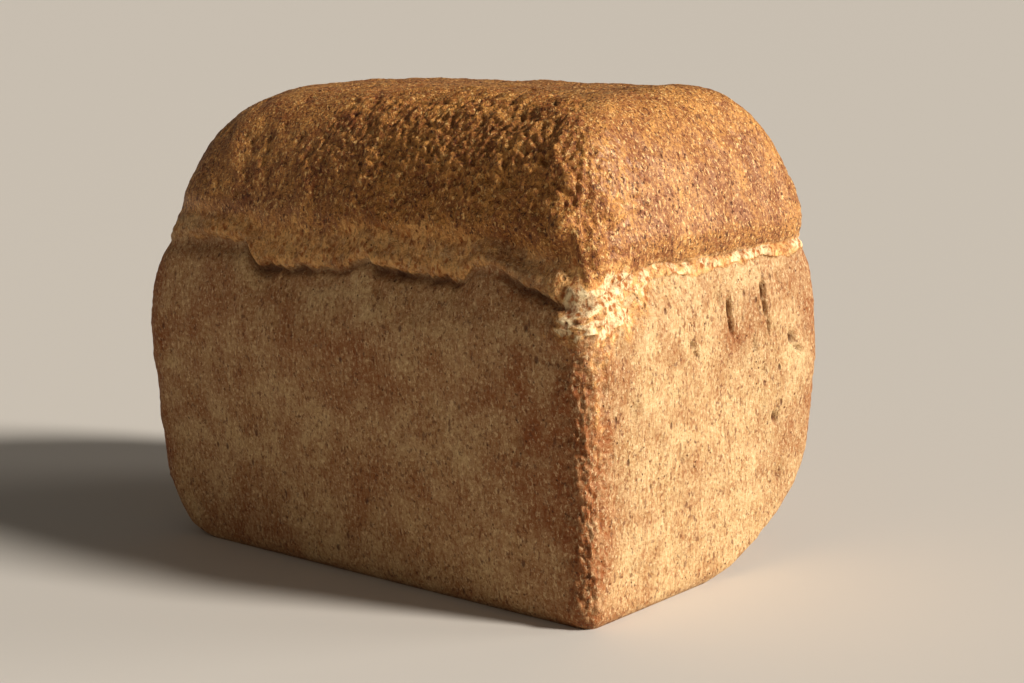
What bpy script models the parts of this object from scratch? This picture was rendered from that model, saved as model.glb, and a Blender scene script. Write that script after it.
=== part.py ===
"""Wholemeal tin loaf, one solid of bread with a flat base.

Metres, +Z up. The origin is on the resting face, under the middle of the loaf. The loaf is long in X: one
long side faces -Y, and the end that filled its corner best faces +X.
"""

from math import cos, exp, pi, sqrt

import bmesh
import bpy
from mathutils import Vector, noise

# Driving sizes
LENGTH = 0.1912
WIDTH = 0.1148
HEIGHT = 0.1440
BREAK_HEIGHT = 0.0962      # where the risen dome has torn from the body that the tin shaped
BELLY_HEIGHT = 0.0690      # where the body is widest

# How far each side leans in from its widest line, at the foot and at the break
FRONT_FOOT, FRONT_NECK = 0.0038, 0.0050
BACK_FOOT, BACK_NECK = 0.0036, 0.0040
RIGHT_FOOT, RIGHT_NECK = 0.0044, 0.0038
LEFT_FOOT, LEFT_NECK = 0.0020, 0.0064
LEAN_POWER = 1.3
NECK_POWER = 2.2
EDGE_HEIGHT, EDGE_INSET = 0.0040, 0.0018   # the small round under every side

# Lower corners that the dough didn't fill, along the back and under the left end: inset at the foot, height
BACK_ROUND = Vector((0.0475, 0.0450))
BACK_ROUND_AT_LEFT = 0.6                   # share of that inset that is left at the left end
LEFT_ROUND = Vector((0.0125, 0.0280))
ROUND_POWER = 2.9

# Dome: how far each shoulder reaches in, how square it is, and the crown on top of it
SHOULDER_RIGHT, SHOULDER_LEFT, SHOULDER_SIDE = 0.0245, 0.0330, 0.0360
SHOULDER_POWER = 2.1
CROWN = 0.0014

# Radii of the upright corners, seen from above
BODY_CORNER = 0.0105
DOME_CORNER_RIGHT, DOME_CORNER_LEFT = 0.0100, 0.0240

# Height of the torn line along the front, by X, and along the right end, by Y
FRONT_LINE = ((-0.0950, 0.0970), (-0.0600, 0.0992), (-0.0450, 0.0990), (-0.0380, 0.0925), (0.0000, 0.0945),
              (0.0100, 0.0980), (0.0200, 0.0955), (0.0440, 0.0950), (0.0590, 0.0988), (0.0740, 0.0945),
              (0.0900, 0.0915))
RIGHT_LINE = ((-0.0530, 0.0918), (-0.0400, 0.0962), (-0.0210, 0.0993), (-0.0080, 0.0976), (0.0570, 0.0968))
LINE_WANDER, LINE_WAVE = 0.0030, 0.034     # how the line wanders on the other two sides
LINE_REACH = 0.0150                        # how far above and below it the surface follows it

# Relief along the torn line. A value for the front, the back and the ends each
CREVICE_DEPTH = (0.0040, 0.0026, 0.0008)
CREVICE_DROP, CREVICE_HALF = 0.0016, 0.0019
LIP_HEIGHT = (0.0016, 0.0012, 0.0004)      # the torn edge over the crevice
LIP_RISE, LIP_HALF = 0.0030, 0.0034
FOLD_DEPTH = (0.0010, 0.0008, 0.0000)      # the soft fold where the torn band meets the dome's own crust
FOLD_RISE, FOLD_HALF = 0.0105, 0.0030
ROLL_HEIGHT = (0.0010, 0.0010, 0.0016)     # the dome's crust, swollen out over the band
ROLL_RISE = (0.0170, 0.0160, 0.0065)
ROLL_HALF = (0.0080, 0.0080, 0.0055)

# Places where the crust swells or sinks: centre, reach in X, Y and Z, and height of the swelling
SWELLINGS = (
    (Vector((0.0905, -0.0540, 0.0890)), Vector((0.0090, 0.0100, 0.0080)), 0.0030),     # near corner's blister
    (Vector((0.0955, 0.0080, 0.0640)), Vector((0.0200, 0.0200, 0.0230)), -0.0022),     # hollow, right end
    (Vector((0.0955, 0.0440, 0.0740)), Vector((0.0200, 0.0110, 0.0110)), -0.0012),     # small hollow beside it
    (Vector((0.0200, 0.0573, 0.0600)), Vector((0.0550, 0.0200, 0.0260)), -0.0018),     # hollow, back
    (Vector((-0.0955, -0.0100, 0.0600)), Vector((0.0200, 0.0260, 0.0240)), -0.0016),   # hollow, left end
    (Vector((0.0660, -0.0560, 0.1040)), Vector((0.0065, 0.0120, 0.0045)), -0.0026),    # pocket in the band
    (Vector((-0.0380, 0.0000, 0.1440)), Vector((0.0260, 0.0400, 0.0200)), 0.0012),     # hump on the dome
    (Vector((0.0000, 0.0050, 0.1440)), Vector((0.0200, 0.0400, 0.0200)), -0.0008),     # dip beside it
)
UNEVENNESS = ((0.050, 0.0010), (0.018, 0.00045))   # wave length and height of the slow waves in the crust

# The grid of the surface
COLUMNS_X, COLUMNS_Y = 38, 24
ROW_BANDS = ((EDGE_HEIGHT, 2), (0.0300, 6), (0.0860, 9), (0.1040, 9), (HEIGHT, 8))   # top of a band, rows in it

CRUST_COLOUR = (0.52, 0.26, 0.09, 1.0)
CRUST_ROUGHNESS = 0.62


def clear_scene():
    for obj in list(bpy.data.objects):
        bpy.data.objects.remove(obj, do_unlink=True)


def smooth(t):
    """0 below 0, 1 above 1, and an S curve between."""
    t = min(1.0, max(0.0, t))
    return t * t * (3 - 2 * t)


def mix(a, b, t):
    return a + (b - a) * t


def bell(offset, half):
    return exp(-((offset / half) ** 2))


def along(points, place):
    """Height of a line at a place, from its points, eased from each to the next."""
    if place <= points[0][0]:
        return points[0][1]
    for (start, low), (end, high) in zip(points, points[1:]):
        if place <= end:
            return mix(low, high, smooth((place - start) / (end - start)))
    return points[-1][1]


def row_height(share):
    """Height of a row of the grid, given as its share of all rows, from 0 at the base to 1."""
    row = share * sum(rows for _, rows in ROW_BANDS)
    low = 0.0
    for top, rows in ROW_BANDS:
        if row <= rows:
            return mix(low, top, row / rows)
        row -= rows
        low = top
    return HEIGHT


def lean(height, foot, neck):
    """How far a side leans in at a height: to the foot below the belly, and to the neck above it."""
    if height < BELLY_HEIGHT:
        inset = foot * (1 - height / BELLY_HEIGHT) ** LEAN_POWER
    else:
        inset = neck * ((height - BELLY_HEIGHT) / (BREAK_HEIGHT - BELLY_HEIGHT)) ** NECK_POWER
    if height < EDGE_HEIGHT:
        inset += EDGE_INSET * (1 - height / EDGE_HEIGHT) ** 2
    return inset


def unfilled(height, size):
    """How far a lower corner that the dough didn't fill stands back from the side."""
    return size.x * max(0.0, 1 - height / size.y) ** ROUND_POWER


def round_shoulder(box):
    """Bends the upper edges of the box over into the dome, and returns (point, share of the way out)."""
    up = max(0.0, (box.z - BREAK_HEIGHT) / (HEIGHT - BREAK_HEIGHT))
    if up == 0:
        return box, 1.0
    reach_x = SHOULDER_RIGHT if box.x > 0 else SHOULDER_LEFT
    out_x = max(0.0, 1 - (LENGTH / 2 - abs(box.x)) / reach_x)
    out_y = max(0.0, 1 - (WIDTH / 2 - abs(box.y)) / SHOULDER_SIDE)
    out = max(out_x, out_y)
    norm = (out ** SHOULDER_POWER + up ** SHOULDER_POWER) ** (1 / SHOULDER_POWER)
    shrink = 1 - 1 / norm
    in_x = reach_x * out_x * shrink * (1 if box.x > 0 else -1)
    in_y = SHOULDER_SIDE * out_y * shrink * (1 if box.y > 0 else -1)
    rise = (HEIGHT - CROWN - BREAK_HEIGHT) * up / norm
    return Vector((box.x - in_x, box.y - in_y, BREAK_HEIGHT + rise)), out / norm


def ring(point, out):
    """Half sizes of the rounded rectangle that a point lies on, and the share of the corner radius there."""
    inner_x = LENGTH / 2 - (SHOULDER_RIGHT if point.x > 0 else SHOULDER_LEFT)
    inner_y = WIDTH / 2 - SHOULDER_SIDE
    share = max(abs(point.x) / inner_x, abs(point.y) / inner_y)
    if share < 1:
        return inner_x * share, inner_y * share, share
    return mix(inner_x, LENGTH / 2, out), mix(inner_y, WIDTH / 2, out), 1.0


def round_plan(point, out, height):
    """Pulls the square upright corners to an arc, and returns the point's place seen from above."""
    half_x, half_y, share = ring(point, out)
    in_dome = smooth((height - BREAK_HEIGHT + 0.004) / 0.020)
    radius = share * mix(BODY_CORNER, DOME_CORNER_RIGHT if point.x > 0 else DOME_CORNER_LEFT, in_dome)
    core = Vector((max(radius - half_x, min(half_x - radius, point.x)),
                   max(radius - half_y, min(half_y - radius, point.y))))
    off = point.xy - core
    if off.length > 0:
        off *= max(abs(off.x), abs(off.y)) / off.length
    return core + off


def shape(share):
    """Place of a grid point on the loaf before its relief, and its height in the grid."""
    height = row_height((share.z + 1) / 2)
    point, out = round_shoulder(Vector((share.x * LENGTH / 2, share.y * WIDTH / 2, height)))
    flat = round_plan(point, out, height)

    # Each side leans in by its own amount, and the bread between two sides is squeezed evenly
    under = min(height, BREAK_HEIGHT)
    back_round = Vector((BACK_ROUND.x * mix(BACK_ROUND_AT_LEFT, 1.0, (share.x + 1) / 2), BACK_ROUND.y))
    right = lean(under, RIGHT_FOOT, RIGHT_NECK)
    left = lean(under, LEFT_FOOT, LEFT_NECK) + unfilled(under, LEFT_ROUND)
    front = lean(under, FRONT_FOOT, FRONT_NECK)
    back = lean(under, BACK_FOOT, BACK_NECK) + unfilled(under, back_round)
    flat.x += mix(left, -right, flat.x / LENGTH + 0.5)
    flat.y += mix(front, -back, flat.y / WIDTH + 0.5)

    crown = CROWN * cos(share.x * pi / 2) * cos(share.y * pi / 2) if share.z > 0.999 else 0.0
    return Vector((flat.x, flat.y, point.z + crown)), height


def by_side(normal, values):
    """Blend of the front's, the back's and the ends' values, by the way that the crust faces."""
    front, back, end = values
    flat = normal.xy
    if flat.length < 1e-6:
        return 0.0
    flat.normalize()
    return mix(end, front if flat.y < 0 else back, smooth((flat.y ** 2 - 0.15) / 0.7))


def line_height(normal, point):
    """Height of the torn line at this place round the loaf."""
    wander = BREAK_HEIGHT + LINE_WANDER * noise.noise(Vector((point.x, point.y, 0.0)) / LINE_WAVE)
    end = along(RIGHT_LINE, point.y) if normal.x > 0 else wander
    return by_side(normal, (along(FRONT_LINE, point.x), wander, end))


def torn_line(normal, height, point):
    """Crevice, torn lip, soft fold and rolled crust, from the line upward."""
    above = height - BREAK_HEIGHT
    ragged = 0.8 + 0.5 * noise.noise(Vector((point.x, point.y, 0.3)) / 0.017)
    return (ragged * by_side(normal, LIP_HEIGHT) * bell(above - LIP_RISE, LIP_HALF)
            - ragged * by_side(normal, CREVICE_DEPTH) * bell(above + CREVICE_DROP, CREVICE_HALF)
            - by_side(normal, FOLD_DEPTH) * bell(above - FOLD_RISE, FOLD_HALF)
            + by_side(normal, ROLL_HEIGHT) * bell(above - by_side(normal, ROLL_RISE),
                                                  max(by_side(normal, ROLL_HALF), ROLL_HALF[2])))


def swelling(point):
    total = 0.0
    for centre, reach, rise in SWELLINGS:
        gap = point - centre
        total += rise * bell(sqrt(sum((gap[i] / reach[i]) ** 2 for i in range(3))), 1.0)
    return total


def unevenness(point):
    return sum(rise * noise.noise(point / wave + Vector((7.3, 1.9, 4.1))) for wave, rise in UNEVENNESS)


def relief(height, normal, point):
    """How the crust moves out of its plain form at a point, as a vector."""
    on_base = smooth(height / EDGE_HEIGHT)
    out = (torn_line(normal, height, point) + swelling(point) + unevenness(point)) * on_base
    move = (normal if height > BREAK_HEIGHT else Vector((normal.x, normal.y, 0.0)).normalized()) * out
    near_line = bell(height - BREAK_HEIGHT, LINE_REACH)
    if near_line > 0.001 and normal.z < 0.9:
        move.z += (line_height(normal, point) - BREAK_HEIGHT) * near_line
    return move


def centre_on_origin(bm):
    """Moves the loaf in X and Y alone, so that its middle is over the origin."""
    low = [min(vertex.co[axis] for vertex in bm.verts) for axis in (0, 1)]
    high = [max(vertex.co[axis] for vertex in bm.verts) for axis in (0, 1)]
    shift = Vector((-(low[0] + high[0]) / 2, -(low[1] + high[1]) / 2, 0.0))
    bmesh.ops.translate(bm, verts=bm.verts, vec=shift)


def make_loaf(collection):
    """A cube cut into a grid, bent to the loaf's form and then given its relief."""
    bm = bmesh.new()
    bmesh.ops.create_cube(bm, size=2.0)
    for axis, count in enumerate((COLUMNS_X, COLUMNS_Y, sum(rows for _, rows in ROW_BANDS))):
        uncut = [e for e in bm.edges if abs(e.verts[0].co[axis] - e.verts[1].co[axis]) > 1.0]
        bmesh.ops.subdivide_edges(bm, edges=uncut, cuts=count - 1, use_grid_fill=True)
    underside = [f for f in bm.faces if all(v.co.z < -0.999 for v in f.verts)]

    heights = {}
    for vertex in bm.verts:
        vertex.co, heights[vertex] = shape(vertex.co.copy())
    bm.normal_update()
    moves = [relief(heights[vertex], vertex.normal, vertex.co) for vertex in bm.verts]
    for vertex, move in zip(bm.verts, moves):
        vertex.co += move
    base = bmesh.ops.dissolve_faces(bm, faces=underside, use_verts=True)["region"]
    bmesh.ops.poke(bm, faces=base)   # a fan about the middle, with no thin triangles
    bmesh.ops.recalc_face_normals(bm, faces=bm.faces)
    centre_on_origin(bm)

    mesh = bpy.data.meshes.new("loaf")
    bm.to_mesh(mesh)
    bm.free()
    mesh.shade_smooth()
    loaf = bpy.data.objects.new("loaf", mesh)
    collection.objects.link(loaf)
    return loaf


def make_crust():
    material = bpy.data.materials.new("baked_crust")
    material.use_nodes = True
    shader = material.node_tree.nodes["Principled BSDF"]
    shader.inputs["Base Color"].default_value = CRUST_COLOUR
    shader.inputs["Roughness"].default_value = CRUST_ROUGHNESS
    shader.inputs["Metallic"].default_value = 0.0
    return material


def main():
    clear_scene()
    collection = bpy.data.collections.new("tin_loaf")
    bpy.context.scene.collection.children.link(collection)
    loaf = make_loaf(collection)
    loaf.data.materials.append(make_crust())


if __name__ == "__main__":
    main()
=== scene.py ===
"""Dresses the tin loaf: browned crust, torn band and crumb, on a pale studio floor.

Metres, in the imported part's frame: the loaf rests on z = 0, its fuller end faces +X and its long torn side
faces -Y. Textures are worked out in millimetres.
"""

import logging
import random
from dataclasses import dataclass, field, replace
from enum import Enum
from math import cos, exp, pi, radians, sin, sqrt

import bmesh
import bpy
from mathutils import Matrix, Vector, kdtree, noise

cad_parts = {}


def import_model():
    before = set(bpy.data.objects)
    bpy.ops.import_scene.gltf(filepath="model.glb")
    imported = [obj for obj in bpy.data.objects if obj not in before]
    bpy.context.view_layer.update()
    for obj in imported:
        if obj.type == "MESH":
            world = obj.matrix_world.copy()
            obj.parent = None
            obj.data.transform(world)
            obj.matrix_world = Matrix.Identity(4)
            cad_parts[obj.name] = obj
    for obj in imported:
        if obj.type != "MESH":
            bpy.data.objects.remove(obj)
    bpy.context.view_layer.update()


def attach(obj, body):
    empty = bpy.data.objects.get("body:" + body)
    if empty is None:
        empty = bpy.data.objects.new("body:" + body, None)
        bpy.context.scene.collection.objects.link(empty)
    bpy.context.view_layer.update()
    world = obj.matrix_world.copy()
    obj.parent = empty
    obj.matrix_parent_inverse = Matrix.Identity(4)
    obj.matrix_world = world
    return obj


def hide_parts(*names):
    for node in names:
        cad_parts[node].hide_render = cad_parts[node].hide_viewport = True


LOG = logging.getLogger("tin_loaf")
NODE = "loaf"
BODY = "root"
MM = 0.001
ROUNDING = 1e-6
# How far a normal turns from an end towards a long side, where that side starts and where it is alone
SIDE_BLEND = (0.15, 0.85)

Colour = tuple[float, float, float, float]
Pair = tuple[float, float]
Pairs = tuple[Pair, ...]
Triple = tuple[float, float, float]
Socket = bpy.types.NodeSocket


def from_screen(red: int, green: int, blue: int) -> Colour:
    """Turn a colour picked on a screen into the linear one that a shader takes.

    Args:
        red: Red, 0 to 255.
        green: Green, 0 to 255.
        blue: Blue, 0 to 255.

    Returns:
        The linear colour, with an alpha of 1.
    """
    values = [value / 255 for value in (red, green, blue)]
    linear = [v / 12.92 if v <= 0.04045 else ((v + 0.055) / 1.055) ** 2.4 for v in values]
    return linear[0], linear[1], linear[2], 1.0


def smooth(value: float, low: float = 0.0, high: float = 1.0) -> float:
    """Rise from 0 at low to 1 at high along an S curve."""
    share = min(1.0, max(0.0, (value - low) / (high - low)))
    return share * share * (3 - 2 * share)


def mix(start: float, end: float, share: float) -> float:
    """Return the value a share of the way from start to end."""
    return start + (end - start) * share


def bell(offset: float, half: float) -> float:
    """Return a bell curve of height 1, at an offset from its middle."""
    return exp(-((offset / half) ** 2))


def along(points: Pairs, place: float) -> float:
    """Read a line's height at a place, eased from each of its points to the next.

    Args:
        points: Pairs of place and height, in order.
        place: Where to read.

    Returns:
        The height there.
    """
    if place <= points[0][0]:
        return points[0][1]
    for (start, low), (end, high) in zip(points, points[1:]):
        if place <= end:
            return mix(low, high, smooth(place, start, end))
    return points[-1][1]


class Mask(Enum):
    """Shares that the loaf's mesh carries at each vertex, for its crust to read."""

    BROWNED = "browned"
    TORN = "torn"
    # Painted shade: how dark the crust is painted in the crevice under the lip and in grooves, dents and pits
    PAINTED_SHADE = "painted_shade"
    # Browner crust: partly its baking, partly painted shade on the sides and corners turned from the light
    TOAST_AND_SHADE = "toasted"
    ROUGH = "rough"


@dataclass
class Spot:
    """A vertex of the loaf while its relief is worked out.

    Apart from its height above the break, its numbers are shares from 0 to 1: how much it belongs to each
    side and to an upright corner, and how much torn crumb and browned dome is there.
    """

    point: Vector
    normal: Vector
    above: float
    front: float = 0.0
    back: float = 0.0
    end: float = 0.0
    edge: float = 0.0
    torn: float = 0.0
    browned: float = 0.0

    def __post_init__(self) -> None:
        """Work out how much the spot belongs to the front, the back and the ends."""
        flat = self.normal.xy
        if flat.length > ROUNDING:
            flat.normalize()
            share = smooth(flat.y ** 2, *SIDE_BLEND)
            self.end = 1 - share
            self.front = share if flat.y < 0 else 0.0
            self.back = share if flat.y >= 0 else 0.0

    def noise(self, wave: float, seed: float, stretch: float = 1.0) -> float:
        """Return noise from about -1 to 1, in lumps as wide as the wave and as tall as the stretch says."""
        place = Vector((self.point.x, self.point.y, self.point.z / stretch)) / wave
        return noise.noise(place + Vector((seed, 2 * seed, 3 * seed)))

    def line_noise(self, wave: float, seed: float) -> float:
        """Return noise from about -1 to 1 that is the same at every height."""
        return noise.noise(Vector((self.point.x, self.point.y, seed)) / wave)


@dataclass(frozen=True)
class BySide:
    """One value for the front, one for the back and one for both ends."""

    front: float
    back: float
    end: float

    def at(self, spot: Spot) -> float:
        """Return the blend of the three for a spot."""
        return self.front * spot.front + self.back * spot.back + self.end * spot.end


@dataclass(frozen=True)
class Blob:
    """An amount that fades out round a place, by its reach along each axis."""

    centre: Triple
    reach: Triple
    amount: float

    def at(self, point: Vector) -> float:
        """Return what is left of the amount at a point."""
        gap = point - Vector(self.centre)
        return self.amount * exp(-sum((gap[axis] / self.reach[axis]) ** 2 for axis in range(3)))


@dataclass(frozen=True)
class Layer:
    """One layer of noise. With a level, it is puckered: lumps reach up to the level, with creases between."""

    rise: float
    wave: float
    seed: float
    stretch: float = 1.0
    level: float | None = None

    def at(self, spot: Spot) -> float:
        """Return how far the layer stands out at a spot."""
        value = spot.noise(self.wave, self.seed, self.stretch)
        return self.rise * (value if self.level is None else self.level - abs(value))


@dataclass
class LoafForm:
    """The loaf's plain form: what the tin shaped, and the dome above it."""

    length: float = 0.1912
    width: float = 0.1148
    height: float = 0.144
    break_height: float = 0.0962
    belly_height: float = 0.069
    front_lean: Pair = (0.0038, 0.005)
    back_lean: Pair = (0.0036, 0.004)
    right_lean: Pair = (0.0044, 0.0038)
    left_lean: Pair = (0.002, 0.0064)
    lean_power: float = 1.3
    neck_power: float = 2.2
    edge_height: float = 0.004
    edge_inset: float = 0.0018
    back_round: Pair = (0.0475, 0.045)
    back_round_at_left: float = 0.6
    left_round: Pair = (0.0125, 0.028)
    round_power: float = 2.9
    shoulder_right: float = 0.0245
    shoulder_left: float = 0.033
    shoulder_side: float = 0.036
    shoulder_power: float = 2.1
    crown: float = 0.0014
    body_corner: float = 0.0105
    near_corner: float = 0.0062
    dome_corner_right: float = 0.0105
    dome_corner_left: float = 0.024
    corner_reach: Pair = (0.005, 0.017)
    dome_corner_blend: Pair = (-0.004, 0.016)
    columns: tuple[int, int] = (130, 80)
    row_bands: tuple[tuple[float, int], ...] = (
        (0.004, 4), (0.086, 56), (0.106, 34), (0.144, 26))
    fine_zones: tuple[tuple[Triple, Triple], ...] = (
        ((-0.1, -0.06, 0.09), (0.1, -0.0573, 0.0995)),
        ((0.0955, -0.06, 0.088), (0.1, 0.06, 0.098)),
        ((0.0955, 0.003, 0.06), (0.1, 0.048, 0.088)),
        ((0.0955, 0.0035, 0.066), (0.1, 0.03, 0.087)),
        ((0.0955, -0.013, 0.067), (0.1, -0.003, 0.077)),
        ((0.0955, 0.024, 0.038), (0.1, 0.037, 0.049)),
        ((0.0955, -0.06, 0.005), (0.1, -0.043, 0.088)),
        ((0.086, -0.06, 0.005), (0.1, -0.0573, 0.09)),
        ((-0.03, -0.06, 0.0995), (0.1, -0.0573, 0.1439)),
        ((0.0955, -0.06, 0.098), (0.1, -0.026, 0.1439)),
        ((-0.02, -0.06, 0.1439), (0.1, -0.03, 0.145)))

    @property
    def rows(self) -> int:
        """Return the number of rows from the base to the crown."""
        return sum(rows for _, rows in self.row_bands)

    def row_height(self, share: float) -> float:
        """Work out how high a row stands.

        Args:
            share: The row, as its share of all rows.

        Returns:
            Its height.
        """
        row = share * self.rows
        low = 0.0
        for top, rows in self.row_bands:
            if row <= rows:
                return mix(low, top, row / rows)
            row -= rows
            low = top
        return self.height

    def on_box(self, share: Vector) -> Vector:
        """Return the place on the plain box of a point on a cube that runs from -1 to 1."""
        height = self.row_height((share.z + 1) / 2)
        return Vector((share.x * self.length / 2, share.y * self.width / 2, height))

    def lean(self, height: float, amounts: Pair) -> float:
        """Say how far a side leans in.

        Args:
            height: Height on the side.
            amounts: How far it leans in at the foot, and at the break.

        Returns:
            The inset there.
        """
        foot, neck = amounts
        if height < self.belly_height:
            inset = foot * (1 - height / self.belly_height) ** self.lean_power
        else:
            rise = (height - self.belly_height) / (self.break_height - self.belly_height)
            inset = neck * rise ** self.neck_power
        if height < self.edge_height:
            inset += self.edge_inset * (1 - height / self.edge_height) ** 2
        return inset

    def unfilled(self, height: float, inset: float, top: float) -> float:
        """Return how far a lower corner that the dough didn't fill stands back."""
        return inset * max(0.0, 1 - height / top) ** self.round_power

    def round_shoulder(self, box: Vector) -> tuple[Vector, float]:
        """Bend the upper edges of the box over into the dome.

        Args:
            box: A point on the plain box.

        Returns:
            Its place, and its share of the way out from the flat of the dome.
        """
        rise = self.height - self.break_height
        up = max(0.0, (box.z - self.break_height) / rise)
        if up == 0:
            return box, 1.0
        reach_x = self.shoulder_right if box.x > 0 else self.shoulder_left
        out_x = max(0.0, 1 - (self.length / 2 - abs(box.x)) / reach_x)
        out_y = max(0.0, 1 - (self.width / 2 - abs(box.y)) / self.shoulder_side)
        out = max(out_x, out_y)
        power = self.shoulder_power
        norm = (out ** power + up ** power) ** (1 / power)
        shrink = 1 - 1 / norm
        in_x = reach_x * out_x * shrink * (1 if box.x > 0 else -1)
        in_y = self.shoulder_side * out_y * shrink * (1 if box.y > 0 else -1)
        height = self.break_height + (rise - self.crown) * up / norm
        return Vector((box.x - in_x, box.y - in_y, height)), out / norm

    def ring(self, point: Vector, out: float) -> Triple:
        """Say which rounded rectangle a point lies on, seen from above.

        Args:
            point: The point, once its shoulder is rounded.
            out: Its share of the way out from the flat of the dome.

        Returns:
            The half length, the half width, and the share of the corner's radius there.
        """
        inner_x = self.length / 2 - (self.shoulder_right if point.x > 0 else self.shoulder_left)
        inner_y = self.width / 2 - self.shoulder_side
        share = max(abs(point.x) / inner_x, abs(point.y) / inner_y)
        if share < 1:
            return inner_x * share, inner_y * share, share
        return mix(inner_x, self.length / 2, out), mix(inner_y, self.width / 2, out), 1.0

    def round_plan(self, point: Vector, out: float, height: float) -> Vector:
        """Pull the square upright corners to an arc.

        Args:
            point: The point, once its shoulder is rounded.
            out: Its share of the way out from the flat of the dome.
            height: Its height on the plain box.

        Returns:
            Its place seen from above.
        """
        half_x, half_y, share = self.ring(point, out)
        in_dome = smooth(height - self.break_height, *self.dome_corner_blend)
        body_corner = self.near_corner if point.x > 0 > point.y else self.body_corner
        dome_corner = self.dome_corner_right if point.x > 0 else self.dome_corner_left
        radius = share * mix(body_corner, dome_corner, in_dome)
        core = Vector((max(radius - half_x, min(half_x - radius, point.x)),
                       max(radius - half_y, min(half_y - radius, point.y))))
        off = point.xy - core
        if off.length > 0:
            off *= max(abs(off.x), abs(off.y)) / off.length
        return core + off

    def corner_share(self, point: Vector) -> float:
        """Return how near a point of a wall is to an upright corner, from 0 to 1."""
        gap = Vector((self.length / 2 - abs(point.x), self.width / 2 - abs(point.y)))
        return 1 - smooth(gap.length, *self.corner_reach)

    def shape(self, share: Vector) -> tuple[Vector, float]:
        """Place a point of the grid on the plain form.

        Args:
            share: The point on a cube that runs from -1 to 1.

        Returns:
            Its place on the loaf, and its height on the plain box.
        """
        box = self.on_box(share)
        height = box.z
        point, out = self.round_shoulder(box)
        flat = self.round_plan(point, out, height)
        under = min(height, self.break_height)
        inset, top = self.back_round
        inset *= mix(self.back_round_at_left, 1.0, (share.x + 1) / 2)
        left = self.lean(under, self.left_lean) + self.unfilled(under, *self.left_round)
        right = self.lean(under, self.right_lean)
        front = self.lean(under, self.front_lean)
        back = self.lean(under, self.back_lean) + self.unfilled(under, inset, top)
        flat.x += mix(left, -right, flat.x / self.length + 0.5)
        flat.y += mix(front, -back, flat.y / self.width + 0.5)
        if share.z > 1 - ROUNDING:
            point.z += self.crown * cos(share.x * pi / 2) * cos(share.y * pi / 2)
        return Vector((flat.x, flat.y, point.z)), height


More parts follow.
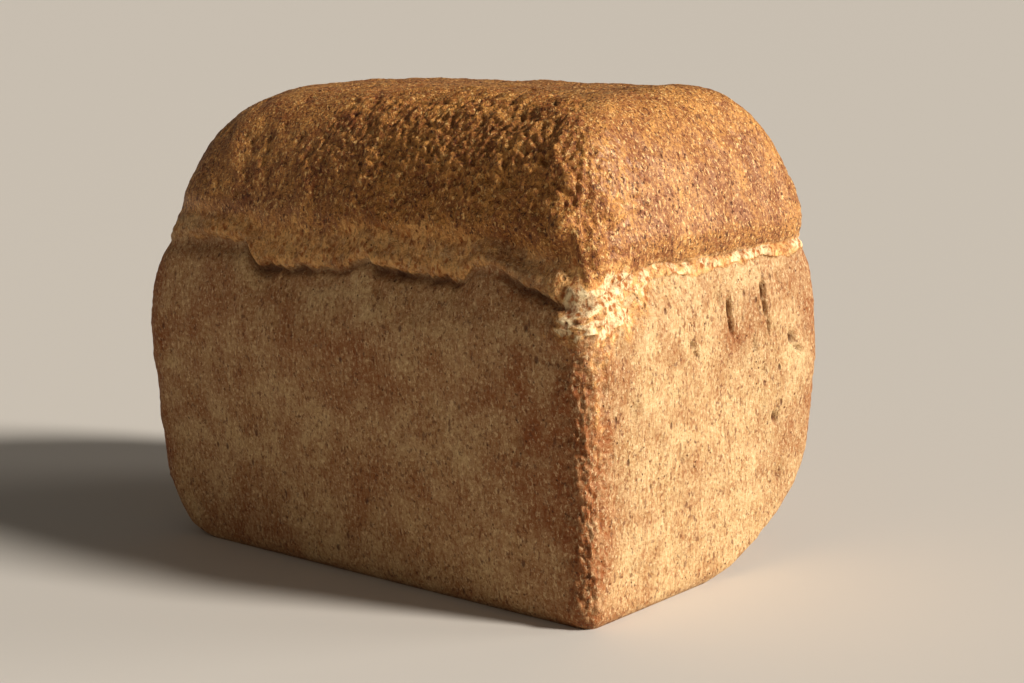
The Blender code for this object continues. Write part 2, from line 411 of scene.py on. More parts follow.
@dataclass
class TornLine:
    """The line where the dome tore free, with the crevice, lip, band and roll along it.

    Lines are pairs of a place along a side and a value there. Rises, tops and feet are measured from the torn
    line. Weights are for what is steady, for slow noise and for quick noise.
    """

    front_line: Pairs = (
        (-0.095, 0.097), (-0.06, 0.0992), (-0.045, 0.099), (-0.038, 0.0925), (-0.001, 0.0946),
        (0.0105, 0.0982), (0.015, 0.0955), (0.044, 0.095), (0.059, 0.0988), (0.074, 0.0945),
        (0.09, 0.0915))
    right_line: Pairs = (
        (-0.053, 0.0918), (-0.04, 0.0962), (-0.021, 0.0993), (-0.008, 0.0976), (0.057, 0.0968))
    wander: float = 0.003
    wander_wave: float = 0.034
    ragged: float = 0.0012
    ragged_wave: float = 0.007
    ragged_octaves: tuple[Triple, ...] = (
        (1.0, 1.0, 0.4), (0.42, 1.0, 3.1), (0.22, 0.4, 7.7))
    ragged_by_side: BySide = BySide(1.0, 0.9, 0.3)
    ragged_half: float = 0.004
    uneven_wave: float = 0.017
    uneven_seed: float = 0.3
    reach: float = 0.015
    front_depth: Pairs = (
        (-0.095, 0.0006), (-0.07, 0.0012), (-0.05, 0.0012), (-0.04, 0.0024), (-0.0335, 0.0042),
        (-0.027, 0.0022), (-0.01, 0.0022), (0.0, 0.0012), (0.011, 0.0012), (0.015, 0.003),
        (0.03, 0.0032), (0.041, 0.003), (0.05, 0.0012), (0.059, 0.0005), (0.066, 0.0022),
        (0.075, 0.0026), (0.086, 0.0022), (0.092, 0.0012))
    front_half: Pairs = (
        (-0.095, 0.0032), (-0.05, 0.0026), (-0.038, 0.0015), (-0.0335, 0.0021), (-0.027, 0.0011),
        (0.0, 0.001), (0.02, 0.0013), (0.05, 0.0011), (0.092, 0.0012))
    crevice_depth: BySide = BySide(1.0, 0.003, 0.0011)
    crevice_half: BySide = BySide(1.0, 0.0013, 0.0008)
    crevice_drop: float = 0.0014
    crevice_wander: float = 0.0004
    crevice_wave: float = 0.0045
    crevice_seed: float = 5.7
    crevice_weights: Triple = (0.9, 0.5, 0.35)
    crevice_limits: Pair = (0.1, 0.0008)
    # Crevice depth at which its painted shade is full
    dark_depth: float = 0.0042
    lip_height: BySide = BySide(0.0017, 0.0013, 0.0004)
    lip_rise: float = 0.0022
    lip_half: float = 0.003
    lip_weights: Pair = (0.8, 0.6)
    fold_depth: BySide = BySide(0.001, 0.0008, 0.0)
    fold_rise: float = 0.0105
    fold_half: float = 0.003
    roll_height: BySide = BySide(0.001, 0.001, 0.0016)
    roll_rise: BySide = BySide(0.017, 0.016, 0.0065)
    roll_half: BySide = BySide(0.008, 0.008, 0.0055)
    band_top: BySide = BySide(0.016, 0.012, -0.0002)
    band_foot: BySide = BySide(-0.0002, -0.0002, -0.0048)
    band_soft: BySide = BySide(0.0115, 0.009, 0.0012)
    band_strength: BySide = BySide(0.84, 0.78, 0.9)
    band_limit: BySide = BySide(0.78, 0.78, 1.0)
    band_weights: Triple = (0.95, 0.45, 0.55)
    top_wander: float = 0.0045
    foot_wander: float = 0.0016
    foot_soft: float = 0.0006
    least_soft: float = 0.001
    wide: Layer = Layer(1.0, 0.012, 5.0)
    fine: Layer = Layer(1.0, 0.0045, 9.0, 1.4)
    crumbs: Layer = Layer(1.1, 0.0021, 15.0)
    patch_weights: Triple = (1.0, 0.7, 1.1)
    crust_foot: BySide = BySide(0.0045, 0.0035, 0.0)
    crust_fade: BySide = BySide(0.0085, 0.0075, 0.0018)
    crust_soft: float = 0.0006
    crust_drop: float = 0.001
    front_pale: Pairs = (
        (-0.095, 0.45), (-0.064, 0.55), (-0.045, 1.05), (0.038, 1.05), (0.054, 0.7), (0.072, 0.55),
        (0.09, 0.85))
    patches: tuple[Blob, ...] = (
        # Torn corner nearest the camera, then the torn edge beside, over and under it
        Blob((0.093, -0.0445, 0.088), (0.011, 0.016, 0.0076), 1.12),
        Blob((0.094, -0.031, 0.0948), (0.008, 0.021, 0.0038), 0.76),
        Blob((0.089, -0.048, 0.0985), (0.011, 0.012, 0.0055), 0.42),
        Blob((0.0925, -0.0505, 0.0765), (0.006, 0.0055, 0.015), 0.6),
        Blob((0.093, -0.0495, 0.0625), (0.005, 0.0032, 0.008), 0.46),
        Blob((0.093, -0.05, 0.048), (0.005, 0.0028, 0.005), 0.36),
    )

    def rise(self, spot: Spot, break_height: float) -> float:
        """Say how far the line stands over or under its mean height.

        Args:
            spot: A spot of the crust.
            break_height: The line's mean height.

        Returns:
            How far the crust there is moved up.
        """
        wander = self.wander * spot.line_noise(self.wander_wave, 0.0)
        end = along(self.right_line, spot.point.y) - break_height if spot.normal.x > 0 else wander
        front = along(self.front_line, spot.point.x) - break_height
        line = BySide(front, wander, end).at(spot)
        fine = sum(weight * spot.line_noise(self.ragged_wave * share, seed)
                   for share, weight, seed in self.ragged_octaves)
        fine *= self.ragged * self.ragged_by_side.at(spot) * bell(spot.above, self.ragged_half)
        return line * bell(spot.above, self.reach) + fine

    def crevice(self, spot: Spot) -> float:
        """Work out how deep the crevice under the lip is.

        Args:
            spot: A spot of the crust.

        Returns:
            The depth there.
        """
        depth = replace(self.crevice_depth, front=along(self.front_depth, spot.point.x)).at(spot)
        half = replace(self.crevice_half, front=along(self.front_half, spot.point.x)).at(spot)
        ragged = spot.line_noise(self.crevice_wave, self.crevice_seed)
        steady, slow, quick = self.crevice_weights
        share = steady + slow * spot.line_noise(self.uneven_wave, self.uneven_seed) + quick * ragged
        shallowest, narrowest = self.crevice_limits
        low = spot.above + self.crevice_drop + self.crevice_wander * ragged
        return max(shallowest, share) * depth * bell(low, max(narrowest, half))

    def relief(self, spot: Spot) -> float:
        """Work out how far the crust stands out along the line, apart from its crevice.

        Args:
            spot: A spot of the crust.

        Returns:
            The rise of the lip and the roll there, less the fold between them.
        """
        steady, slow = self.lip_weights
        share = steady + slow * spot.line_noise(self.uneven_wave, self.uneven_seed)
        lip = self.lip_height.at(spot) * bell(spot.above - self.lip_rise, self.lip_half)
        fold = self.fold_depth.at(spot) * bell(spot.above - self.fold_rise, self.fold_half)
        half = max(self.roll_half.end, self.roll_half.at(spot))
        roll = self.roll_height.at(spot) * bell(spot.above - self.roll_rise.at(spot), half)
        return share * lip - fold + roll

    def torn(self, spot: Spot) -> float:
        """Work out how much pale crumb shows.

        Args:
            spot: A spot of the crust.

        Returns:
            A share from 0 to 1.
        """
        wide, fine = self.wide.at(spot), self.fine.at(spot)
        top = self.band_top.at(spot) + self.top_wander * wide * (spot.front + spot.back)
        foot = self.band_foot.at(spot) + self.foot_wander * (fine + wide) * spot.end
        soft = max(self.band_soft.at(spot), self.least_soft)
        inside = smooth(spot.above, foot - self.foot_soft, foot + self.foot_soft)
        inside *= 1 - smooth(spot.above, top - soft, top + soft / 3)
        steady, slow, quick = self.band_weights
        band = inside * self.band_strength.at(spot) * (steady + slow * wide + quick * fine)
        band *= mix(1.0, along(self.front_pale, spot.point.x), spot.front)
        steady, slow, quick = self.patch_weights
        patch = sum(blob.at(spot.point) for blob in self.patches)
        patch *= steady + slow * wide + quick * fine + self.crumbs.at(spot)
        return min(1.0, max(0.0, min(band, self.band_limit.at(spot)), patch))

    def browned(self, spot: Spot) -> float:
        """Work out how much of the dome's browned crust is there.

        Args:
            spot: A spot of the crust.

        Returns:
            A share from 0 to 1.
        """
        foot = self.crust_foot.at(spot) - self.crust_drop * spot.end
        full = foot + max(self.crust_fade.at(spot), self.crust_fade.end)
        return smooth(spot.above, foot - self.crust_soft, full)


@dataclass
class BrowningAndShade:
    """How much browner than its palest the crust is, from place to place: partly its baking, partly painted
    shade.

    Clouds are pairs of a wave and an amount.
    """

    # Painted shade in part: the long sides, the far end and the upright corners come out browner than the
    # near end, which faces the light
    by_side: BySide = BySide(0.5, 0.46, 0.04)
    far_end: float = 0.34
    corner: float = 0.55
    dome_side: float = 0.15
    dome_top: float = 0.32
    strength: float = 0.8
    seed: float = 17.0
    clouds: Pairs = ((0.024, 0.48), (0.0085, 0.42))
    spots: tuple[Blob, ...] = (
        Blob((0.0955, 0.036, 0.086), (0.02, 0.024, 0.013), 0.52),
        # Painted shade round the grooves of the near end
        Blob((0.0955, 0.02, 0.07), (0.02, 0.014, 0.009), 0.28),
        Blob((0.0955, 0.05, 0.05), (0.02, 0.009, 0.03), 0.32),
        # Painted shade down the near upright corner, where it turns from the light
        Blob((0.0955, -0.0505, 0.036), (0.02, 0.0125, 0.044), 0.8),
        # Darker along the foot of the near end
        Blob((0.0955, 0.0, 0.0), (0.03, 0.06, 0.006), 0.25),
    )

    def at(self, spot: Spot) -> float:
        """Work out how brown the crust is.

        Args:
            spot: A spot of the crust.

        Returns:
            A share from 0 to 1.
        """
        wall = 1 - spot.browned
        dome = mix(self.dome_side, self.dome_top, max(0.0, spot.normal.z))
        total = mix(self.by_side.at(spot), dome, spot.browned) + self.corner * spot.edge * wall
        if spot.point.x < 0:
            total += self.far_end * spot.end * wall
        total += sum(blob.at(spot.point) for blob in self.spots) * wall
        total += sum(amount * spot.noise(wave, self.seed) for wave, amount in self.clouds)
        return self.strength * min(1.0, max(0.0, total))


@dataclass(frozen=True)
class Dent:
    """A dent, groove or pit: its middle, the way it runs, and its size."""

    centre: Triple
    run: Triple
    half_length: float
    half_width: float
    depth: float


@dataclass
class CrustRelief:
    """Swellings, folds and dents of the crust, from the largest to the smallest.

    A dent's three sizes are its half length, its half width and its depth.
    """

    swellings: tuple[Blob, ...] = (
        Blob((0.0905, -0.054, 0.089), (0.009, 0.01, 0.008), 0.003),
        Blob((0.09, -0.006, 0.118), (0.03, 0.036, 0.022), 0.0032),
        Blob((0.0955, 0.008, 0.064), (0.02, 0.02, 0.023), -0.0022),
        Blob((0.0955, 0.044, 0.074), (0.02, 0.011, 0.011), -0.0012),
        Blob((0.0955, -0.056, 0.04), (0.02, 0.014, 0.036), -0.0019),
        Blob((0.02, 0.0573, 0.06), (0.055, 0.02, 0.026), -0.0018),
        Blob((-0.0955, -0.01, 0.06), (0.02, 0.026, 0.024), -0.0016),
        Blob((0.066, -0.056, 0.104), (0.0065, 0.012, 0.0045), -0.0026),
        Blob((0.08, -0.056, 0.103), (0.011, 0.012, 0.003), -0.0018),
        Blob((-0.059, -0.056, 0.096), (0.014, 0.012, 0.0032), -0.0014),
        Blob((-0.038, 0.0, 0.144), (0.026, 0.04, 0.02), 0.0012),
        Blob((0.0, 0.005, 0.144), (0.02, 0.04, 0.02), -0.0008),
    )
    waves: Pairs = ((0.05, 0.001), (0.018, 0.00045))
    waves_seed: Triple = (7.3, 1.9, 4.1)
    crumb: tuple[Layer, ...] = (
        Layer(0.0006, 0.0019, 1.0, 1.5), Layer(0.00075, 0.0046, 2.0, 1.3), Layer(0.0006, 0.0026, 3.0))
    dome: tuple[Layer, ...] = (
        Layer(0.00085, 0.0027, 4.0, 1.3, level=0.32), Layer(0.00115, 0.0015, 12.0, 1.3))
    wall: tuple[Layer, ...] = (Layer(0.00034, 0.004, 7.0, 1.5), Layer(0.0003, 0.011, 8.0, 1.8))
    flakes: tuple[Layer, ...] = (
        Layer(0.001, 0.0024, 10.0, level=0.3), Layer(0.0011, 0.0016, 13.0), Layer(0.0012, 0.0052, 11.0, 1.4))
    flakes_elsewhere: float = 0.25
    calm_dome: float = 0.3
    folds: Layer = Layer(1.0, 0.0075, 6.0, 1.8)
    folds_rise: Pair = (0.00045, 0.0011)
    lumps: Layer = Layer(0.0022, 0.0052, 14.0)
    lumps_place: Pair = (0.087, -0.05)
    lumps_reach: float = 0.012
    lumps_heights: Pair = (0.086, 0.098)
    rough_along: Pair = (-0.045, 0.025)
    rough_across: Pair = (-0.01, 0.025)
    calm_end_across: Pair = (-0.049, -0.03)
    grooves: tuple[Dent, ...] = (
        Dent((0.095, 0.009, 0.08), (0.0, 0.05, -1.0), 0.003, 0.0007, 0.0026),
        Dent((0.095, 0.0096, 0.0752), (0.0, 0.16, -1.0), 0.0026, 0.0006, 0.002),
        Dent((0.095, 0.0246, 0.083), (0.0, -0.05, -1.0), 0.0026, 0.0009, 0.003),
        Dent((0.095, 0.025, 0.078), (0.0, 0.1, -1.0), 0.0028, 0.0007, 0.0024),
        Dent((0.095, 0.0266, 0.0724), (0.0, 0.12, -1.0), 0.0026, 0.0006, 0.002),
        Dent((0.094, 0.0388, 0.0668), (0.0, 0.4, -1.0), 0.0018, 0.0013, 0.0026),
        Dent((0.094, 0.0418, 0.0636), (0.0, 0.9, -0.6), 0.0026, 0.0006, 0.0018),
        Dent((0.095, -0.009, 0.073), (0.0, 0.1, -1.0), 0.0012, 0.0009, 0.0022),
        Dent((0.095, -0.0078, 0.07), (0.0, 0.3, -1.0), 0.0018, 0.0006, 0.0018),
        Dent((0.0945, 0.0302, 0.044), (0.0, 0.15, -1.0), 0.0018, 0.0011, 0.0024),
        Dent((0.094, 0.0325, 0.0255), (0.0, 0.2, -1.0), 0.003, 0.0012, 0.0015),
        Dent((0.095, -0.0136, 0.041), (0.0, 0.2, -1.0), 0.0014, 0.0012, 0.0014),
        Dent((0.095, -0.0002, 0.014), (0.0, 0.05, -1.0), 0.003, 0.0011, 0.0012),
        Dent((0.093, -0.0487, 0.073), (0.2, 0.05, -1.0), 0.0026, 0.0007, 0.0014),
        Dent((0.093, -0.048, 0.068), (0.2, -0.2, -1.0), 0.002, 0.0006, 0.0012),
    )
    seed: int = 41
    sizes: Pair = (0.5, 1.0)
    wall_dents: int = 240
    wall_dent: Triple = (0.003, 0.0013, 0.0011)
    wall_heights: Pair = (0.04, 0.94)
    wall_span: float = 0.46
    wall_turn: float = 0.3
    wall_ends: float = 0.45
    dome_dents: tuple[tuple[int, float, float, float], ...] = (
        (420, 0.0022, 0.0007, 0.0011), (90, 0.0013, 0.0011, 0.0007))
    dome_turn: float = 0.5
    dome_middle: float = 0.05
    dome_reach: float = 0.55
    dome_fall: Pair = (0.055, 0.45)
    calm_end: Pair = (0.07, 0.35)
    press_reach: float = 2.2
    press_heights: Pair = (0.001, 0.004)
    # Dents are painted darker the deeper they are, up to the darkest share: painted shade in the hollows
    dark_depths: Pair = (0.0005, 0.0022)
    darkest: float = 0.8

    def swelling(self, point: Vector) -> float:
        """Return how far the crust swells or sinks at a point."""
        shift = Vector(self.waves_seed)
        total = sum(blob.at(point) for blob in self.swellings)
        return total + sum(rise * noise.noise(point / wave + shift) for wave, rise in self.waves)

    def skin(self, spot: Spot) -> float:
        """Work out the fine relief that a hand would feel.

        Args:
            spot: A spot of the crust.

        Returns:
            How far the crust stands out there.
        """
        crumb, dome, wall, flakes = (sum(layer.at(spot) for layer in layers)
                                     for layers in (self.crumb, self.dome, self.wall, self.flakes))
        if not spot.point.x > 0 > spot.point.y:
            flakes *= self.flakes_elsewhere
        rough = self.roughness(spot)
        dome = mix(self.calm_dome, 1.0, rough) * dome + mix(*self.folds_rise, rough) * self.folds.at(spot)
        crust = mix(wall + flakes * spot.edge, dome, spot.browned)
        near = bell((spot.point.xy - Vector(self.lumps_place)).length, self.lumps_reach)
        near *= smooth(spot.point.z, *self.lumps_heights)
        return mix(crust, crumb, spot.torn) + near * self.lumps.at(spot)

    def roughness(self, spot: Spot) -> float:
        """Return how rough the dome is: it is so only down its torn front slope."""
        rough = smooth(spot.point.x, *self.rough_along) * smooth(-spot.point.y, *self.rough_across)
        return rough * (1 - spot.end * smooth(spot.point.y, *self.calm_end_across))

    def scatter(self, form: LoafForm) -> list[Dent]:
        """Draw the small dents of the walls, and the creases and pits of the dome.

        Args:
            form: The loaf's plain form, whose box the draws are spread over.

        Returns:
            The dents, with centres that still have to be moved to the nearest crust.
        """
        draw = random.Random(self.seed)
        dents = list(self.grooves)
        length, width, depth = self.wall_dent
        for _ in range(self.wall_dents):
            side = draw.choice((-1, 1))
            place = draw.uniform(-self.wall_span, self.wall_span)
            height = draw.uniform(*self.wall_heights) * form.break_height
            if draw.random() < self.wall_ends:
                centre = (side * form.length / 2, place * form.width, height)
            else:
                centre = (place * form.length, side * form.width / 2, height)
            turn = self.wall_turn
            run = (draw.uniform(-turn, turn), draw.uniform(-turn, turn), -1.0)
            size = draw.uniform(*self.sizes)
            dents.append(Dent(centre, run, length * size, width * size, depth * size * size))
        fall, flat = self.dome_fall
        for count, length, width, depth in self.dome_dents:
            for _ in range(count):
                around, out = draw.uniform(0, 2 * pi), sqrt(draw.uniform(self.dome_middle, 1.0))
                far, turn = self.dome_reach * out, self.dome_turn
                centre = (far * form.length * cos(around), far * form.width * sin(around),
                          form.height - fall * max(0.0, out - flat))
                run = (cos(around) + draw.uniform(-turn, turn), sin(around) + draw.uniform(-turn, turn), -0.5)
                size = draw.uniform(*self.sizes)
                calm_from, calm = self.calm_end
                shallow = calm if centre[0] > calm_from else 1.0
                dents.append(Dent(centre, run, length * size, width * size, depth * size * shallow))
        return dents

    def press(self, bm: bmesh.types.BMesh, dents: list[Dent]) -> dict[int, float]:
        """Press dents into the crust.

        Args:
            bm: The loaf's mesh, with its normals up to date.
            dents: The dents. Each goes to the vertex nearest to its centre.

        Returns:
            How deep the crust was pressed, by vertex.
        """
        tree = kdtree.KDTree(len(bm.verts))
        for index, vertex in enumerate(bm.verts):
            tree.insert(vertex.co, index)
        tree.balance()
        bm.verts.ensure_lookup_table()
        depths: dict[int, float] = {}
        for dent in dents:
            centre, nearest, _ = tree.find(dent.centre)
            inward = -bm.verts[nearest].normal
            run = Vector(dent.run)
            run = (run - inward * run.dot(inward)).normalized()
            across = run.cross(inward)
            for place, index, _ in tree.find_range(centre, self.press_reach * dent.half_length):
                gap = place - centre
                share = bell(gap.dot(run), dent.half_length) * bell(gap.dot(across), dent.half_width)
                depths[index] = max(depths.get(index, 0.0), dent.depth * share)
        for index, depth in depths.items():
            vertex = bm.verts[index]
            vertex.co -= vertex.normal * depth * smooth(vertex.co.z, *self.press_heights)
        return depths


class Graph:
    """A node tree that is being wired, with short calls for the nodes that the finishes use."""

    def __init__(self, tree: bpy.types.NodeTree) -> None:
        """Keep the tree of a material or of a node group."""
        self.tree = tree

    def feed(self, target: Socket, value: object) -> None:
        """Link a socket to a target, or set the target to a plain value.

        Args:
            target: An input socket.
            value: An output socket, a number, a colour or a vector.
        """
        if isinstance(value, Socket):
            self.tree.links.new(value, target)
        else:
            target.default_value = value

    def node(self, kind: str, settings: dict[str, object] | None = None,
             inputs: dict[object, object] | None = None) -> bpy.types.Node:
        """Add a node.

        Args:
            kind: Its type, without the leading ShaderNode.
            settings: Values of its own properties.
            inputs: Values or links for its inputs, by name or place.

        Returns:
            The node.
        """
        node = self.tree.nodes.new("ShaderNode" + kind)
        for name, value in (settings or {}).items():
            setattr(node, name, value)
        for name, value in (inputs or {}).items():
            self.feed(node.inputs[name], value)
        return node

    def math(self, operation: str, first: object, second: object = 0.0, clamp: bool = False) -> Socket:
        """Return the result of a Math node."""
        node = self.node("Math", {"operation": operation, "use_clamp": clamp}, {0: first, 1: second})
        return node.outputs[0]

    def plus(self, first: object, second: object) -> Socket:
        """Return a sum."""
        return self.math("ADD", first, second)

    def minus(self, first: object, second: object) -> Socket:
        """Return a difference."""
        return self.math("SUBTRACT", first, second)

    def times(self, first: object, second: object, clamp: bool = False) -> Socket:
        """Return a product."""
        return self.math("MULTIPLY", first, second, clamp)

    def texture_scale(self, size: object) -> Socket:
        """Return the scale that gives a texture lumps of a size."""
        return self.math("DIVIDE", 1.0, size)

    def mixed(self, share: object, first: object, second: object) -> Socket:
        """Return two values, mixed by a share."""
        return self.node("Mix", {"data_type": "FLOAT"}, {0: share, 2: first, 3: second}).outputs[0]

    def rise(self, value: object, low: object, high: object) -> Socket:
        """Return an S curve that goes from 0 at low to 1 at high."""
        inputs = {"Value": value, "From Min": low, "From Max": high}
        return self.node("MapRange", {"interpolation_type": "SMOOTHSTEP"}, inputs).outputs[0]

    def blend(self, share: object, first: object, second: object) -> Socket:
        """Return two colours, mixed by a share."""
        return self.node("Mix", {"data_type": "RGBA"}, {0: share, 6: first, 7: second}).outputs[2]

    def noise(self, vector: object, scale: object, detail: float = 2.0, roughness: float = 0.5) -> Socket:
        """Return the value of a Noise Texture."""
        inputs = {"Vector": vector, "Scale": scale, "Detail": detail, "Roughness": roughness}
        return self.node("TexNoise", None, inputs).outputs[0]

    def cells(self, vector: object, scale: object) -> bpy.types.Node:
        """Return a Voronoi Texture."""
        return self.node("TexVoronoi", None, {"Vector": vector, "Scale": scale})

    def moved(self, vector: object, shift: object) -> Socket:
        """Return a vector, moved along X, Y and Z."""
        return self.node("VectorMath", {"operation": "ADD"}, {0: vector, 1: shift}).outputs[0]

    def scaled(self, vector: object, scale: object) -> Socket:
        """Return a vector, scaled along X, Y and Z."""
        return self.node("Mapping", None, {"Vector": vector, "Scale": scale}).outputs[0]


class GroupKit:
    """Builds each shader group once and hands it to the materials that use it."""

    def __init__(self) -> None:
        """Start with no groups built."""
        self.made: dict[str, bpy.types.NodeTree] = {}

    def start(self, name: str, inputs: dict[str, tuple[str, object]], outputs: tuple[str, ...]
              ) -> tuple[Graph, bpy.types.Node, bpy.types.Node]:
        """Open a new group.

        Args:
            name: The group's name.
            inputs: Kind of socket and first value, by name.
            outputs: Names of its outputs, each a value.

        Returns:
            Its graph, its input node and its output node.
        """
        tree = bpy.data.node_groups.new(name, "ShaderNodeTree")
        for label, (kind, value) in inputs.items():
            socket = tree.interface.new_socket(label, in_out="INPUT", socket_type="NodeSocket" + kind)
            if value is not None:
                socket.default_value = value
        for label in outputs:
            tree.interface.new_socket(label, in_out="OUTPUT", socket_type="NodeSocketFloat")
        self.made[name] = tree
        return Graph(tree), tree.nodes.new("NodeGroupInput"), tree.nodes.new("NodeGroupOutput")

    def place(self, graph: Graph, name: str, inputs: dict[str, object]) -> bpy.types.Node:
        """Put a group in a material.

        Args:
            graph: The material's graph.
            name: The group's name.
            inputs: Values or links for its inputs.

        Returns:
            The group's node.
        """
        if name not in self.made:
            getattr(self, "build_" + name)()
        node = graph.tree.nodes.new("ShaderNodeGroup")
        node.node_tree = self.made[name]
        for label, value in inputs.items():
            graph.feed(node.inputs[label], value)
        return node

    def build_grain(self) -> None:
        """Build the light and dark grain of baked dough, over slow clouds and upright streaks of the same."""
        fine_share, cloud_share, streak_share = 0.56, 0.26, 0.18
        streak_scale, streak_squash = 0.8, 0.18
        inputs = {"Vector": ("Vector", None), "Lump": ("Float", 1.1), "Cloud": ("Float", 13.0)}
        graph, given, result = self.start("grain", inputs, ("Shade", "Cloud", "Height", "Streak"))
        vector = given.outputs["Vector"]
        fine = graph.noise(vector, graph.texture_scale(given.outputs["Lump"]), 4.0, 0.74)
        wide = graph.noise(vector, graph.texture_scale(given.outputs["Cloud"]), 3.0, 0.6)
        streak = graph.noise(graph.scaled(vector, (1.0, 1.0, streak_squash)), streak_scale, 2.0, 0.6)
        both = graph.plus(graph.times(fine, fine_share), graph.times(wide, cloud_share))
        both = graph.plus(both, graph.times(streak, streak_share))
        graph.feed(result.inputs["Shade"], graph.rise(both, 0.36, 0.64))
        graph.feed(result.inputs["Cloud"], wide)
        graph.feed(result.inputs["Height"], graph.minus(fine, 0.5))
        graph.feed(result.inputs["Streak"], graph.minus(streak, 0.5))

    def build_specks(self) -> None:
        """Build specks of no set shape, where fine noise rises over a level."""
        inputs = {"Vector": ("Vector", None), "Size": ("Float", 1.0), "Level": ("Float", 0.6)}
        graph, given, result = self.start("specks", inputs, ("Mask",))
        scale = graph.texture_scale(given.outputs["Size"])
        value = graph.noise(given.outputs["Vector"], scale, 2.0, 0.6)
        level = given.outputs["Level"]
        graph.feed(result.inputs["Mask"], graph.rise(value, level, graph.plus(level, 0.1)))

    def build_flecks(self) -> None:
        """Build flakes of bran that lie in the crust, each with its own tone."""
        inputs = {"Vector": ("Vector", None), "Spacing": ("Float", 2.4), "Share": ("Float", 0.5),
                  "Size": ("Float", 0.3)}
        graph, given, result = self.start("flecks", inputs, ("Mask", "Tone"))
        vector = given.outputs["Vector"]
        bend_scale, bend = 0.8, 2.6
        bent = graph.node("TexNoise", None, {"Vector": vector, "Scale": bend_scale, "Detail": 2.0})
        wobble = graph.node("VectorMath", {"operation": "SCALE"}, {0: bent.outputs[1], "Scale": bend})
        scale = graph.texture_scale(given.outputs["Spacing"])
        cells = graph.cells(graph.moved(vector, wobble.outputs[0]), scale)
        tone = graph.node("SeparateColor", None, {0: cells.outputs["Color"]})
        kept = graph.math("LESS_THAN", tone.outputs[0], given.outputs["Share"])
        least, spread, soft_from = 0.45, 0.75, 0.72
        own = graph.plus(least, graph.times(tone.outputs[1], spread))
        radius = graph.times(given.outputs["Size"], own)
        outside = graph.rise(cells.outputs["Distance"], graph.times(radius, soft_from), radius)
        inside = graph.minus(1.0, outside)
        graph.feed(result.inputs["Mask"], graph.times(inside, kept))
        graph.feed(result.inputs["Tone"], tone.outputs[2])

    def build_pores(self) -> None:
        """Build pinholes where small bubbles broke through the crust."""
        inputs = {"Vector": ("Vector", None), "Spacing": ("Float", 1.6), "Share": ("Float", 0.35),
                  "Size": ("Float", 0.2)}
        graph, given, result = self.start("pores", inputs, ("Mask",))
        cells = graph.cells(given.outputs["Vector"], graph.texture_scale(given.outputs["Spacing"]))
        tone = graph.node("SeparateColor", None, {0: cells.outputs["Color"]})
        kept = graph.math("LESS_THAN", tone.outputs[0], given.outputs["Share"])
        inside = graph.minus(1.0, graph.rise(cells.outputs["Distance"], 0.04, given.outputs["Size"]))
        graph.feed(result.inputs["Mask"], graph.times(inside, kept))

    def build_pucker(self) -> None:
        """Build the net of fine wrinkles in a crust that dried and shrank."""
        inputs = {"Vector": ("Vector", None), "Spacing": ("Float", 2.4)}
        graph, given, result = self.start("pucker", inputs, ("Height",))
        value = graph.noise(given.outputs["Vector"], graph.texture_scale(given.outputs["Spacing"]), 3.0, 0.6)
        rise = graph.math("ABSOLUTE", graph.minus(value, 0.5))
        graph.feed(result.inputs["Height"], graph.rise(rise, 0.0, 0.14))

    def build_crumb(self) -> None:
        """Build torn crumb: fibres that were pulled upward, and the bubbles between them."""
        inputs = {"Vector": ("Vector", None)}
        graph, given, result = self.start("crumb", inputs, ("Shade", "Height"))
        vector = given.outputs["Vector"]
        fibre_scale, fibre_squash, bubble_scale, bubble_squash, bubble_depth = 0.62, 0.72, 0.42, 0.8, 0.22
        fibres = graph.noise(graph.scaled(vector, (1.0, 1.0, fibre_squash)), fibre_scale, 5.0, 0.7)
        bubbles = graph.cells(graph.scaled(vector, (1.0, 1.0, bubble_squash)), bubble_scale)
        hollow_shade = graph.minus(1.0, graph.rise(bubbles.outputs["Distance"], 0.0, 0.45))
        height = graph.minus(fibres, graph.times(hollow_shade, bubble_depth))
        # The crumb's colour follows its relief, darker in bubble hollows and low fibres: partly painted shade
        graph.feed(result.inputs["Shade"], graph.rise(height, 0.32, 0.59))
        graph.feed(result.inputs["Height"], height)


TONES = ("pale", "light", "dark", "toasted", "bran")


@dataclass(frozen=True)
class CrustFinish:
    """The colours, gloss and grain of one kind of crust."""

    pale: Colour
    light: Colour
    dark: Colour
    toasted: Colour
    bran: Colour
    roughness: float
    sheen: float
    grain: float
    wrinkle: float
    streak: float


WALL = CrustFinish(
    pale=from_screen(234, 206, 160), light=from_screen(217, 186, 138), dark=from_screen(183, 144, 94),
    toasted=from_screen(142, 76, 18), bran=from_screen(100, 52, 20), roughness=0.62, sheen=0.0,
    grain=0.44, wrinkle=0.04, streak=0.5)
DOME = CrustFinish(
    pale=from_screen(246, 204, 134), light=from_screen(225, 164, 84), dark=from_screen(150, 90, 34),
    toasted=from_screen(134, 70, 24), bran=from_screen(84, 38, 14), roughness=0.58, sheen=0.55,
    grain=0.82, wrinkle=0.24, streak=0.0)


@dataclass(frozen=True)
class CrumbFinish:
    """The colours of torn crumb, and the painted shade at the bottom of a crevice, groove or dent."""

    cream: Colour = from_screen(246, 221, 174)
    light: Colour = from_screen(232, 182, 116)
    dark: Colour = from_screen(170, 104, 50)
    # Painted shade laid into crevices, grooves and dents
    hollow_shade: Colour = from_screen(84, 40, 15)
    roughness: float = 0.88
    grain: float = 0.75


@dataclass(frozen=True)
class Speckle:
    """Specks of one kind in a crust."""

    tone: str
    size: float
    level: float
    cloud: float
    on_wall: float
    on_dome: float


